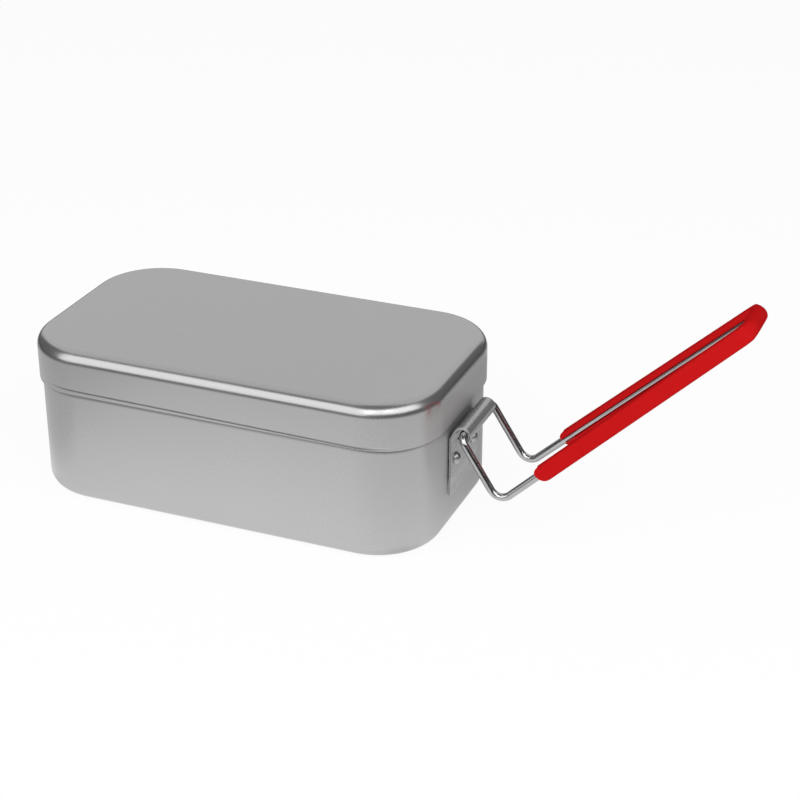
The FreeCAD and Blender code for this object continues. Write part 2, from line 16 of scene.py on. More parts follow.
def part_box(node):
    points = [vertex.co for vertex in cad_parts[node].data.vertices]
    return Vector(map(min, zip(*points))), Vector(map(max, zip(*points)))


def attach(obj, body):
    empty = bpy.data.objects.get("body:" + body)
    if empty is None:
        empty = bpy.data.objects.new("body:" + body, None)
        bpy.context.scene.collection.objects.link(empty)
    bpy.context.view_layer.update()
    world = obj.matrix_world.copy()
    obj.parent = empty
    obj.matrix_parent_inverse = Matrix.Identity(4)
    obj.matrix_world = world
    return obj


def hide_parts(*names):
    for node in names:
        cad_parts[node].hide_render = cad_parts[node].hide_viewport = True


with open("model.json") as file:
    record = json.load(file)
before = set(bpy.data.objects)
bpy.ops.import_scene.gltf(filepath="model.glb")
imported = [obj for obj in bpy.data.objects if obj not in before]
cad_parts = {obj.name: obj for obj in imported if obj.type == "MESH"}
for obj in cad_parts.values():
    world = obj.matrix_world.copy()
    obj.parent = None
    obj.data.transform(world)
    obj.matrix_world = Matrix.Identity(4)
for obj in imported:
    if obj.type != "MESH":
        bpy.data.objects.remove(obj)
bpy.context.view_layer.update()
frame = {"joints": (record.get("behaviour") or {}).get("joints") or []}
LOG = logging.getLogger("mess_tin")

MM = 0.001
# Points of a mesh that are nearer to each other than this, in metres, are one.
MERGE = 1e-6
# Points of a mesh that are nearer to a cut than this, in metres, lie on it.
ON_CUT = 1e-7
# A face is level from the first of these parts of its normal along Z, and upright up to the second.
LEVEL = 0.9
UPRIGHT = 0.1
# Weight with which a piece's large faces set the shading of its edges, from 1 to 100.
FACE_WEIGHT = 100
NOISE_MIDDLE = 0.5
WHITE = (1.0, 1.0, 1.0, 1.0)

Colour = tuple[float, float, float]
Spot = tuple[float, float, float]
Range = tuple[float, float]
Rgba = tuple[float, float, float, float]
Operand = Union["Value", float]


class Body(Enum):
    """Rigid bodies of the tin that a piece can move with."""

    PAN = "pan"
    LID = "lid"
    HANDLE = "handle"


class Mouth(Enum):
    """Side on which a drawn shell is open, as the sign of its Z direction."""

    UP = 1
    DOWN = -1


class Wall(Enum):
    """Side to which a skin grows its wall, as Blender's offset."""

    INWARDS = -1.0
    BOTH_WAYS = 0.0


class Rounded(Enum):
    """What a rounding works on, by Blender's name for it."""

    EDGES = "EDGES"
    CORNERS = "VERTICES"


class Value:
    """A number in a shader tree, which adds Math nodes as it is calculated with."""

    def __init__(self, graph: "Graph", socket: bpy.types.NodeSocket | None) -> None:
        """Wraps an output socket of a node in the graph, if the node has one."""
        self.graph = graph
        self.socket = socket

    def calculate(self, operation: str, first: Operand, second: Operand = 0.0) -> "Value":
        """Adds one Math node.

        Args:
            operation: Name of the Math node's operation.
            first: First number.
            second: Second number, where the operation takes one.

        Returns:
            The node's result.
        """
        return self.graph.add("ShaderNodeMath", {"operation": operation}, {0: first, 1: second})

    def __add__(self, other: Operand) -> "Value":
        """Sum of two numbers."""
        return self.calculate("ADD", self, other)

    def __radd__(self, other: Operand) -> "Value":
        """Sum of two numbers."""
        return self.calculate("ADD", other, self)

    def __sub__(self, other: Operand) -> "Value":
        """Difference of two numbers."""
        return self.calculate("SUBTRACT", self, other)

    def __rsub__(self, other: Operand) -> "Value":
        """Difference of two numbers, the other way round."""
        return self.calculate("SUBTRACT", other, self)

    def __mul__(self, other: Operand) -> "Value":
        """Product of two numbers."""
        return self.calculate("MULTIPLY", self, other)

    def __rmul__(self, other: Operand) -> "Value":
        """Product of two numbers."""
        return self.calculate("MULTIPLY", other, self)

    def __abs__(self) -> "Value":
        """Size of the number without its sign."""
        return self.calculate("ABSOLUTE", self)

    def ease(self, start: float, end: float) -> "Value":
        """Smooth rise from 0 at start to 1 at end.

        Args:
            start: Number at which the rise begins.
            end: Number at which it ends, which may be the smaller one.

        Returns:
            The eased number.
        """
        limits = {
            "From Min": min(start, end),
            "From Max": max(start, end),
            "To Min": float(end < start),
            "To Max": float(end > start),
        }
        settings = {"interpolation_type": "SMOOTHSTEP"}
        return self.graph.add("ShaderNodeMapRange", settings, {"Value": self, **limits})


class Graph:
    """A shader tree that is filled node by node."""

    # Numbers of the Mix node's colour sockets, whose names its other sockets have too.
    MIX_FIRST = 6
    MIX_SECOND = 7
    MIX_RESULT = 2

    def __init__(self, tree: bpy.types.NodeTree) -> None:
        """Starts with an empty tree."""
        self.tree = tree
        self.tree.nodes.clear()

    def add(
        self,
        kind: str,
        settings: Mapping[str, Any] | None = None,
        inputs: Mapping[str | int, Any] | None = None,
        output: str | int = 0,
    ) -> Value:
        """Adds a node of any kind.

        Args:
            kind: Blender's name of the node's type.
            settings: Properties of the node, set first.
            inputs: Values or links of its sockets, by name or number.
            output: Socket whose result is wanted.

        Returns:
            That output.
        """
        node = self.tree.nodes.new(kind)
        for name, setting in (settings or {}).items():
            setattr(node, name, setting)
        for key, given in (inputs or {}).items():
            if isinstance(given, Value):
                self.tree.links.new(given.socket, node.inputs[key])
            else:
                node.inputs[key].default_value = given
        return Value(self, node.outputs[output] if node.outputs else None)

    def place(self, scale: Sequence[float] = (1.0, 1.0, 1.0)) -> Value:
        """Object coordinates in metres, stretched by a scale for each axis.

        Args:
            scale: Factors along X, Y and Z.

        Returns:
            The stretched coordinates.
        """
        spot = self.add("ShaderNodeTexCoord", output="Object")
        inputs = {"Vector": spot, "Scale": tuple(scale)}
        return self.add("ShaderNodeMapping", {"vector_type": "POINT"}, inputs)

    def part(self, place: Value, axis: str) -> Value:
        """Coordinate along the axis of that name."""
        return self.add("ShaderNodeSeparateXYZ", {}, {0: place}, output=axis)

    def noise(self, place: Value, size: float, detail: float = 2.0) -> Value:
        """Cloudy noise between 0 and 1.

        Args:
            place: Coordinates in metres.
            size: Width of its blotches in metres.
            detail: Number of finer layers on top.

        Returns:
            The noise.
        """
        inputs = {"Vector": place, "Scale": 1.0 / size, "Detail": detail}
        return self.add("ShaderNodeTexNoise", {}, inputs)

    def mix_colours(self, share: Operand, first: Any, second: Any) -> Value:
        """Blend of two colours.

        Args:
            share: How much of the second colour shows.
            first: Colour at share 0.
            second: Colour at share 1.

        Returns:
            The blended colour.
        """
        inputs = {"Factor": share, self.MIX_FIRST: first, self.MIX_SECOND: second}
        return self.add("ShaderNodeMix", {"data_type": "RGBA"}, inputs, output=self.MIX_RESULT)

    def tones(self, share: Value, colour: Colour, spread: float) -> Value:
        """Tones round a colour.

        Args:
            share: Place between the darkest tone at 0 and the lightest at 1.
            colour: Colour in the middle.
            spread: How far the two lie from it, as a share of it.

        Returns:
            The tone.
        """
        return self.mix_colours(share, shade(colour, 1.0 - spread), shade(colour, 1.0 + spread))

    def bump(self, height: Value, depth: float, strength: float) -> Value:
        """Relief of the surface.

        Args:
            height: Relief between 0 and 1.
            depth: Height of its full range in metres.
            strength: How much of it shows, from 0 to 1.

        Returns:
            The bent normal.
        """
        inputs = {"Height": height, "Distance": depth, "Strength": strength}
        return self.add("ShaderNodeBump", {}, inputs)


def rgba(colour: Colour) -> Rgba:
    """Colour with full opacity."""
    return (*colour, 1.0)


def shade(colour: Colour, factor: float) -> Rgba:
    """Colour made lighter or darker by a factor, with full opacity."""
    return rgba(tuple(channel * factor for channel in colour))


@dataclass(frozen=True)
class Finish(ABC):
    """Surface of a piece."""

    name: str
    colour: Colour
    roughness: float

    def material(self) -> bpy.types.Material:
        """Makes the material of the finish.

        Returns:
            Material with one Principled shader.
        """
        material = bpy.data.materials.new(self.name)
        material.use_nodes = True
        graph = Graph(material.node_tree)
        shader = graph.add("ShaderNodeBsdfPrincipled", {}, self.sockets(graph))
        graph.add("ShaderNodeOutputMaterial", {}, {"Surface": shader})
        return material

    @abstractmethod
    def sockets(self, graph: Graph) -> dict[str, Any]:
        """Shader inputs of the finish.

        Args:
            graph: Tree to fill.

        Returns:
            Inputs of the Principled shader.
        """


@dataclass(frozen=True)
class SatinSheet(Finish):
    """Etched aluminium sheet with a fine grain, soft clouds, faint streaks and duller end walls."""

    colour: Colour = (0.47, 0.47, 0.472)
    roughness: float = 0.26
    metallic: float = 0.92
    tone_spread: float = 0.04
    cloud_size: float = 38 * MM
    cloud_detail: float = 3.0
    cloud_share: float = 0.6
    cloud_dulling: float = 0.06
    streak_size: float = 0.5 * MM
    streak_stretch: float = 0.02
    streak_dulling: float = 0.05
    grain_size: float = 0.35 * MM
    grain_detail: float = 1.0
    grain_share: float = 0.6
    grain_depth: float = 0.002 * MM
    grain_strength: float = 0.12
    end_wall: Range = (80 * MM, 84.5 * MM)
    end_top: Range = (60 * MM, 55 * MM)
    end_dulling: float = 0.22
    end_metallic: float = 0.68

    def sockets(self, graph: Graph) -> dict[str, Any]:
        """Shader inputs of the sheet.

        Args:
            graph: Tree to fill.

        Returns:
            Inputs of the Principled shader.
        """
        place = graph.place()
        stretched = graph.place((self.streak_stretch, 1.0, 1.0))
        clouds = graph.noise(place, self.cloud_size, self.cloud_detail)
        grain = graph.noise(place, self.grain_size, self.grain_detail)
        streaks = graph.noise(stretched, self.streak_size)
        tone = clouds * self.cloud_share + streaks * (1.0 - self.cloud_share)
        relief = grain * self.grain_share + streaks * (1.0 - self.grain_share)
        end = abs(graph.part(place, "X")).ease(*self.end_wall)
        end = end * graph.part(place, "Z").ease(*self.end_top)
        dull = (clouds - NOISE_MIDDLE) * self.cloud_dulling
        dull = dull + (streaks - NOISE_MIDDLE) * self.streak_dulling
        return {
            "Base Color": graph.tones(tone, self.colour, self.tone_spread),
            "Metallic": self.metallic - end * (self.metallic - self.end_metallic),
            "Roughness": dull + end * self.end_dulling + self.roughness,
            "Normal": graph.bump(relief, self.grain_depth, self.grain_strength),
        }


@dataclass(frozen=True)
class BrightMetal(Finish):
    """Drawn or rolled metal with a smooth face and faint blemishes."""

    metallic: float = 1.0
    blemish_size: float = 2.4 * MM
    blemish_range: Range = (0.45, 0.75)
    blemish_tone: float = 0.93
    blemish_dulling: float = 0.06
    blemish_depth: float = 0.003 * MM
    blemish_strength: float = 0.05

    def sockets(self, graph: Graph) -> dict[str, Any]:
        """Shader inputs of the metal.

        Args:
            graph: Tree to fill.

        Returns:
            Inputs of the Principled shader.
        """
        blemish = graph.noise(graph.place(), self.blemish_size)
        dull = blemish.ease(*self.blemish_range)
        darker = shade(self.colour, self.blemish_tone)
        return {
            "Base Color": graph.mix_colours(dull, rgba(self.colour), darker),
            "Metallic": self.metallic,
            "Roughness": dull * self.blemish_dulling + self.roughness,
            "Normal": graph.bump(blemish, self.blemish_depth, self.blemish_strength),
        }


@dataclass(frozen=True)
class RolledSteel(BrightMetal):
    """Steel strip whose roll has painted shade inside, darkening the colour of its bore."""

    bore_x: float = 0.0
    bore_z: float = 0.0
    bore_radius: float = 2.3 * MM
    bore_blur: float = 0.2 * MM
    # Share of the strip's colour left inside the bore: painted shade for the dark hollow of the roll.
    bore_shade: float = 0.12

    def sockets(self, graph: Graph) -> dict[str, Any]:
        """Shader inputs of the strip.

        Args:
            graph: Tree to fill.

        Returns:
            Inputs of the Principled shader.
        """
        inputs = super().sockets(graph)
        place = graph.place()
        out = graph.part(place, "X") - self.bore_x
        up = graph.part(place, "Z") - self.bore_z
        # Painted shade: the colour is darkened inside the bore, where the roll's hollow lies in
        # shade.
        edge = self.bore_radius + self.bore_blur
        inside = (out * out + up * up).ease(edge**2, self.bore_radius**2)
        painted_shade = shade(self.colour, self.bore_shade)
        inputs["Base Color"] = graph.mix_colours(inside, inputs["Base Color"], painted_shade)
        return inputs


@dataclass(frozen=True)
class MouldedRed(Finish):
    """Matt red moulding with a faint flow pattern and a fine skin."""

    colour: Colour = (0.465, 0.008, 0.009)
    roughness: float = 0.45
    gloss: float = 0.0
    flow_size: float = 14 * MM
    flow_detail: float = 3.0
    flow_spread: float = 0.07
    flow_dulling: float = 0.06
    skin_size: float = 0.5 * MM
    skin_dulling: float = 0.1
    skin_depth: float = 0.01 * MM
    skin_strength: float = 0.35

    def sockets(self, graph: Graph) -> dict[str, Any]:
        """Shader inputs of the moulding.

        Args:
            graph: Tree to fill.

        Returns:
            Inputs of the Principled shader.
        """
        place = graph.place()
        flow = graph.noise(place, self.flow_size, self.flow_detail)
        skin = graph.noise(place, self.skin_size)
        dull = (skin - NOISE_MIDDLE) * self.skin_dulling
        dull = dull + (flow - NOISE_MIDDLE) * self.flow_dulling
        return {
            "Base Color": graph.tones(flow, self.colour, self.flow_spread),
            "Roughness": dull + self.roughness,
            "Specular IOR Level": self.gloss,
            "Normal": graph.bump(skin, self.skin_depth, self.skin_strength),
        }


@dataclass(frozen=True)
class Seat:
    """Place of a finished piece in the frame."""

    node: str
    body: Body
    slot: str


def hinge_axis() -> Vector:
    """Point on the axis of the handle's joint, midway between the wire's two ends."""
    fold = next(joint for joint in frame["joints"] if joint["name"] == "handle_fold")
    return Vector(fold["pos_m"])


def settle(
    name: str, bm: bmesh.types.BMesh, seat: Seat, material: bpy.types.Material
) -> bpy.types.Object:
    """Turns a bmesh into a smooth-shaded piece that stands for its CAD node.

    Args:
        name: Name of the piece.
        bm: Its mesh, in the frame's coordinates, which is freed.
        seat: Node, body and material slot of the piece.
        material: Its finish.

    Returns:
        The piece.
    """
    for face in bm.faces:
        face.smooth = True
    mesh = bpy.data.meshes.new(name)
    bm.to_mesh(mesh)
    bm.free()
    mesh.materials.append(material)
    piece = bpy.data.objects.new(name, mesh)
    bpy.context.scene.collection.objects.link(piece)
    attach(piece, seat.body.value)
    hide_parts(seat.node)
    return piece


def thicken(piece: bpy.types.Object, thickness: float, side: Wall) -> None:
    """Gives a sheet its wall.

    Args:
        piece: Piece whose mesh is one skin.
        thickness: Wall in metres.
        side: Side to which the wall grows.
    """
    wall = piece.modifiers.new("wall", "SOLIDIFY")
    wall.thickness = thickness
    wall.offset = side.value
    wall.use_even_offset = True


def soften(piece: bpy.types.Object, radius: float, angle: float = 40.0, steps: int = 3) -> None:
    """Rounds the sharp edges of a piece and evens out its shading.

    Args:
        piece: Piece to finish.
        radius: Width of the rounding in metres.
        angle: Edges sharper than this many degrees are rounded.
        steps: Facets of the rounding.
    """
    rounding = piece.modifiers.new("rounding", "BEVEL")
    rounding.width = radius
    rounding.segments = steps
    rounding.limit_method = "ANGLE"
    rounding.angle_limit = math.radians(angle)
    rounding.harden_normals = False
    shading = piece.modifiers.new("shading", "WEIGHTED_NORMAL")
    shading.weight = FACE_WEIGHT
    shading.keep_sharp = False


def round_off(
    bm: bmesh.types.BMesh,
    items: Iterable[bmesh.types.BMEdge | bmesh.types.BMVert],
    kind: Rounded,
    radius: float,
    steps: int,
) -> None:
    """Rounds edges of a solid or corners of an outline.

    Args:
        bm: Mesh that holds them.
        items: The edges or corners.
        kind: Which of the two they are.
        radius: Radius of the rounding in metres.
        steps: Facets of the rounding.
    """
    bmesh.ops.bevel(
        bm, geom=list(items), offset=radius, offset_type="OFFSET", affect=kind.value,
        segments=steps, profile=0.5, material=-1, clamp_overlap=False,
    )


def everything(bm: bmesh.types.BMesh) -> list[Any]:
    """All corners, edges and faces of a mesh."""
    return bm.verts[:] + bm.edges[:] + bm.faces[:]


def ease(share: float) -> float:
    """Smooth step from 0 to 1 of a share that is clamped to that range."""
    share = min(max(share, 0.0), 1.0)
    return share * share * (3 - 2 * share)


class Sweep:
    """Draws a row of edges along straight runs and round bends."""

    def __init__(self, bm: bmesh.types.BMesh, edges: Iterable[bmesh.types.BMEdge]) -> None:
        """Starts at the edges of a section."""
        self.bm = bm
        self.edges = list(edges)

    def corners(self) -> list[bmesh.types.BMVert]:
        """Corners of the current section, each once, in the order of its edges."""
        return list(dict.fromkeys(corner for edge in self.edges for corner in edge.verts))

    def run(self, step: Vector) -> None:
        """Draws the section straight on.

        Args:
            step: Way to its new place.
        """
        made = bmesh.ops.extrude_edge_only(self.bm, edges=self.edges)["geom"]
        self.edges = [item for item in made if isinstance(item, bmesh.types.BMEdge)]
        self.edges = [edge for edge in self.edges if all(end in made for end in edge.verts)]
        bmesh.ops.translate(self.bm, verts=self.corners(), vec=step)

    def bend(self, centre: Vector, axis: Vector, angle: float, steps: int) -> None:
        """Turns the section about an axis.

        Args:
            centre: Point on the axis.
            axis: Direction of the axis.
            angle: Turn in radians by the right-hand rule.
            steps: Facets of the bend.
        """
        made = bmesh.ops.spin(
            self.bm, geom=self.corners() + self.edges, cent=centre, axis=axis, angle=angle,
            steps=steps, use_merge=False, use_duplicate=False,
        )["geom_last"]
        self.edges = [item for item in made if isinstance(item, bmesh.types.BMEdge)]

    def follow(self, corners: Sequence[Vector], radii: Sequence[float], steps: int) -> None:
        """Draws the section along a line through corners, each inner corner rounded.

        Args:
            corners: Corners of the line, starting at the section.
            radii: Radius of the bend at each inner corner.
            steps: Facets of each bend.
        """
        here = corners[0]
        for before, corner, after, radius in zip(corners, corners[1:], corners[2:], radii):
            arriving = (corner - before).normalized()
            leaving = (after - corner).normalized()
            turn = arriving.angle(leaving)
            first = corner - arriving * radius * math.tan(turn / 2)
            axis = arriving.cross(leaving).normalized()
            self.run(first - here)
            self.bend(first + axis.cross(arriving) * radius, axis, turn, steps)
            here = corner + leaving * radius * math.tan(turn / 2)
        self.run(corners[-1] - here)


@dataclass
class DrawnShell:
    """Deep-drawn sheet with round corners and one closed side."""

    name: str
    seat: Seat
    mouth: Mouth
    corner_radius: float
    edge_radius: float
    sheet: float = 0.7 * MM
    rim_round: float = 0.3 * MM
    rim_angle: float = 60.0
    side_turn: float = math.radians(42.0)
    corner_steps: int = 28
    edge_steps: int = 14

    def outward(self, spot: Vector, reach: Vector) -> Vector:
        """Direction out of the upright wall.

        Args:
            spot: Point on the wall.
            reach: Corner of the shell's box with the largest coordinates.

        Returns:
            Level direction of length 1, or 0 away from the wall.
        """
        out_x = max(abs(spot.x) - reach.x + self.corner_radius, 0.0)
        out_y = max(abs(spot.y) - reach.y + self.corner_radius, 0.0)
        level = (math.copysign(out_x, spot.x), math.copysign(out_y, spot.y), 0.0)
        return Vector(level).normalized()

    def side_share(self, outward: Vector) -> float:
        """Share of what is pressed into the long sides, which fades out round the corners."""
        return ease(1.0 - math.acos(min(abs(outward.y), 1.0)) / self.side_turn)

    def outside(self) -> bmesh.types.BMesh:
        """Shapes the outer skin from the box of the CAD node.

        Returns:
            The skin, open at its mouth.
        """
        low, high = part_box(self.seat.node)
        bm = bmesh.new()
        spread = Matrix.Diagonal((*(high - low), 1.0))
        bmesh.ops.create_cube(bm, size=1.0, matrix=Matrix.Translation((low + high) / 2) @ spread)
        ends = [(edge, *edge.verts) for edge in bm.edges]
        uprights = [edge for edge, one, other in ends if abs(one.co.z - other.co.z) > self.sheet]
        round_off(bm, uprights, Rounded.EDGES, self.corner_radius, self.corner_steps)
        bm.normal_update()
        closed = [face for face in bm.faces if face.normal.z * self.mouth.value < -LEVEL]
        mouth = [face for face in bm.faces if face.normal.z * self.mouth.value > LEVEL]
        round_off(bm, closed[0].edges, Rounded.EDGES, self.edge_radius, self.edge_steps)
        bmesh.ops.delete(bm, geom=mouth, context="FACES_ONLY")
        return bm

    def shape(self, bm: bmesh.types.BMesh) -> None:
        """Adds what is pressed into the skin, which is nothing on a plain shell."""

    def build(self, material: bpy.types.Material) -> bpy.types.Object:
        """Makes the shell.

        Args:
            material: Its finish.

        Returns:
            The piece.
        """
        bm = self.outside()
        self.shape(bm)
        piece = settle(self.name, bm, self.seat, material)
        thicken(piece, self.sheet, Wall.INWARDS)
        soften(piece, self.rim_round, self.rim_angle)
        return piece


@dataclass
class Pan(DrawnShell):
    """Box whose wall draws in a little under the lid."""

    neck_start: float = 44.9 * MM
    neck_height: float = 2.8 * MM
    neck_depth: float = 0.36 * MM
    neck_rise: float = 0.6 * MM
    neck_cuts: int = 16

    def shape(self, bm: bmesh.types.BMesh) -> None:
        """Draws the upper part of the wall in, from a little higher along the long sides.

        Args:
            bm: Outer skin of the pan.
        """
        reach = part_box(self.seat.node)[1]
        span = self.neck_height + self.neck_rise
        for cut in range(self.neck_cuts + 1):
            height = self.neck_start + span * cut / self.neck_cuts
            bmesh.ops.bisect_plane(
                bm, geom=everything(bm), plane_co=(0, 0, height), plane_no=(0, 0, 1), dist=ON_CUT
            )
        for corner in bm.verts:
            outward = self.outward(corner.co, reach)
            start = self.neck_start + self.neck_rise * self.side_share(outward)
            corner.co -= outward * self.neck_depth * ease((corner.co.z - start) / self.neck_height)


@dataclass
class Lid(DrawnShell):
    """Cover whose skirt has a groove along the rim of its long sides and is pressed in below it."""

    press_height: float = 1.7 * MM
    press_lean: float = 0.0105
    press_depth: float = 0.2 * MM
    groove_depth: float = 0.36 * MM
    groove_fall: float = 0.5 * MM
    groove_return: float = 0.65 * MM
    groove_cuts: int = 12
    rim_rise: float = 0.6 * MM
    side_limit: float = 0.5

    def shape(self, bm: bmesh.types.BMesh) -> None:
        """Presses the long sides of the skirt and lifts their rim.

        Args:
            bm: Outer skin of the lid.
        """
        low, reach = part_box(self.seat.node)
        groove = self.groove_fall + self.groove_return
        top = low.z + self.press_height + self.groove_fall + self.groove_return / 2
        for cut in range(self.groove_cuts + 1):
            self.cut(bm, top - groove * cut / self.groove_cuts)
        for corner in bm.verts:
            outward = self.outward(corner.co, reach)
            share = self.side_share(outward)
            below = top - corner.co.z - corner.co.x * self.press_lean
            if corner.co.z < low.z + MERGE:
                corner.co.z += self.rim_rise * share
            corner.co -= outward * self.inset(below) * share

    def inset(self, below: float) -> float:
        """How far the skirt lies in: a steep fall into the groove, then a short return.

        Args:
            below: Distance below the groove's upper edge.

        Returns:
            Distance from the plain skirt.
        """
        fall = self.groove_depth * ease(below / self.groove_fall)
        back = min(max((below - self.groove_fall) / self.groove_return, 0.0), 1.0)
        return fall - (self.groove_depth - self.press_depth) * back

    def cut(self, bm: bmesh.types.BMesh, height: float) -> None:
        """Cuts the long sides and the corners beside them along the groove's lean.

        Args:
            bm: Outer skin of the lid.
            height: Height of the cut in the middle of the side.
        """
        bm.normal_update()
        upright = [face for face in bm.faces if abs(face.normal.z) < UPRIGHT]
        sides = [face for face in upright if abs(face.normal.y) > self.side_limit]
        edges = dict.fromkeys(edge for face in sides for edge in face.edges)
        corners = dict.fromkeys(corner for face in sides for corner in face.verts)
        bmesh.ops.bisect_plane(
            bm, geom=[*corners, *edges, *sides], plane_co=(0, 0, height),
            plane_no=Vector((self.press_lean, 0, 1)).normalized(), dist=ON_CUT,
        )


@dataclass
class Hinge:
    """Riveted strip whose top is rolled loosely over the wire."""

    sheet: float = 1.2 * MM
    width: float = 28.0 * MM
    foot: float = 15.5 * MM
    foot_flat: float = 4.0 * MM
    standoff: float = 0.4 * MM
    step_height: float = 5.5 * MM
    corner_radius: float = 2.0 * MM
    bend_height: float = 39.6 * MM
    bend_radius: float = 2.0 * MM
    roll_radius: float = 2.85 * MM
    pin_lean: float = 0.56 * MM
    pin_lift: float = 0.42 * MM
    lip: float = 2.1 * MM
    edge_round: float = 0.1 * MM
    rivet_shank: float = 3.0 * MM
    rivet_head: float = 5.0 * MM
    rivet_head_rise: float = 2.0 * MM
    rivet_head_rim: float = 0.3 * MM
    rivet_collar: float = 5.0 * MM
    rivet_tail: float = 6.0 * MM
    rivet_round: float = 0.12 * MM
    pan_sheet: float = 0.7 * MM
    corner_steps: int = 8
    bend_steps: int = 20
    dome_steps: int = 10
    rivet_steps: int = 48

    def roll_axis(self) -> Vector:
        """Point on the axis of the roll, in which the wire's ends lie off the middle."""
        return hinge_axis() - Vector((self.pin_lean, 0, self.pin_lift))

    def strip_skin(self, wall: float) -> bmesh.types.BMesh:
        """Bends the middle skin of the strip.

        Args:
            wall: X of the pan's outer face.

        Returns:
            The skin, from the foot to the edge of the roll.
        """
        side = Vector((0, 1, 0))
        foot_x = wall + self.sheet / 2
        plate_x = foot_x + self.standoff
        step_radius = (self.step_height**2 + self.standoff**2) / (4 * self.standoff)
        lean = 2 * math.atan2(self.standoff, self.step_height)
        step_start = self.foot + self.foot_flat
        step_top = step_start + self.step_height
        step_facets = self.bend_steps // 2
        roll = self.roll_axis()
        turn = Vector((plate_x + self.bend_radius, 0, self.bend_height))
        reach = roll - turn
        spread = math.hypot(reach.x, reach.z)
        growth = self.roll_radius - self.bend_radius
        slope = math.atan2(reach.z, reach.x) + math.asin(growth / spread)
        tangent = math.sqrt(spread**2 - growth**2)
        lip_turn = math.asin(self.lip / self.roll_radius)

        bm = bmesh.new()
        ends = [bm.verts.new((foot_x, share * self.width / 2, self.foot)) for share in (-1, 1)]
        sweep = Sweep(bm, [bm.edges.new(ends)])
        sweep.run(Vector((0, 0, self.foot_flat)))
        sweep.bend(Vector((foot_x + step_radius, 0, step_start)), side, lean, step_facets)
        sweep.bend(Vector((plate_x - step_radius, 0, step_top)), -side, lean, step_facets)
        sweep.run(Vector((0, 0, self.bend_height - step_top)))
        sweep.bend(turn, side, math.pi / 2 - slope, self.bend_steps)
        sweep.run(Vector((math.cos(slope), 0, math.sin(slope))) * tangent)
        sweep.bend(roll, side, math.pi + slope + lip_turn, self.bend_steps * 2)
        bmesh.ops.remove_doubles(bm, verts=bm.verts, dist=MERGE)
        low_corners = [corner for corner in bm.verts if corner.co.z < self.foot + MERGE]
        round_off(bm, low_corners, Rounded.CORNERS, self.corner_radius, self.corner_steps)
        bmesh.ops.recalc_face_normals(bm, faces=bm.faces)
        return bm

    def build_strip(self, material: bpy.types.Material) -> bpy.types.Object:
        """Makes the bracket.

        Args:
            material: Its finish.

        Returns:
            The piece.
        """
        bm = self.strip_skin(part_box("pan")[1].x)
        seat = Seat("hinge_bracket", Body.PAN, "bracket_steel")
        piece = settle("bracket", bm, seat, material)
        thicken(piece, self.sheet, Wall.BOTH_WAYS)
        soften(piece, self.edge_round)
        return piece

    def build_rivet(self, node: str, material: bpy.types.Material) -> bpy.types.Object:
        """Makes one rivet: tail, shank, collar and domed head.

        Args:
            node: CAD node that the rivet stands for.
            material: Its finish.

        Returns:
            The piece.
        """
        low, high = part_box(node)
        middle = (low + high) / 2
        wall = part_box("pan")[1].x
        plate_front = wall + self.standoff + self.sheet
        outline = [
            (low.x, 0.0),
            (low.x, self.rivet_tail / 2),
            (wall - self.pan_sheet, self.rivet_tail / 2),
            (wall - self.pan_sheet, self.rivet_shank / 2),
            (wall, self.rivet_shank / 2),
            (wall, self.rivet_collar / 2),
            (wall + self.standoff, self.rivet_collar / 2),
            (wall + self.standoff, self.rivet_shank / 2),
            (plate_front, self.rivet_shank / 2),
            (plate_front, self.rivet_head / 2),
            (plate_front + self.rivet_head_rim, self.rivet_head / 2),
        ]
        bm = bmesh.new()
        corners = [bm.verts.new((x, middle.y, middle.z + radius)) for x, radius in outline]
        for pair in zip(corners, corners[1:]):
            bm.edges.new(pair)
        rim = self.rivet_head / 2
        bulge = self.rivet_head_rise - self.rivet_head_rim
        dome = (rim**2 + bulge**2) / (2 * bulge)
        centre = Vector((plate_front + self.rivet_head_rise - dome, middle.y, middle.z))
        bmesh.ops.spin(
            bm, geom=[corners[-1]], cent=centre, axis=(0, 1, 0), angle=math.asin(rim / dome),
            steps=self.dome_steps, use_merge=False,
        )
        bmesh.ops.spin(
            bm, geom=bm.verts[:] + bm.edges[:], cent=middle, axis=(1, 0, 0), angle=math.tau,
            steps=self.rivet_steps, use_merge=True,
        )
        bmesh.ops.remove_doubles(bm, verts=bm.verts, dist=MERGE)
        bmesh.ops.recalc_face_normals(bm, faces=bm.faces)
        seat = Seat(node, Body.PAN, "rivet_aluminium")
        piece = settle(f"hinge_{node}", bm, seat, material)
        soften(piece, self.rivet_round)
        return piece


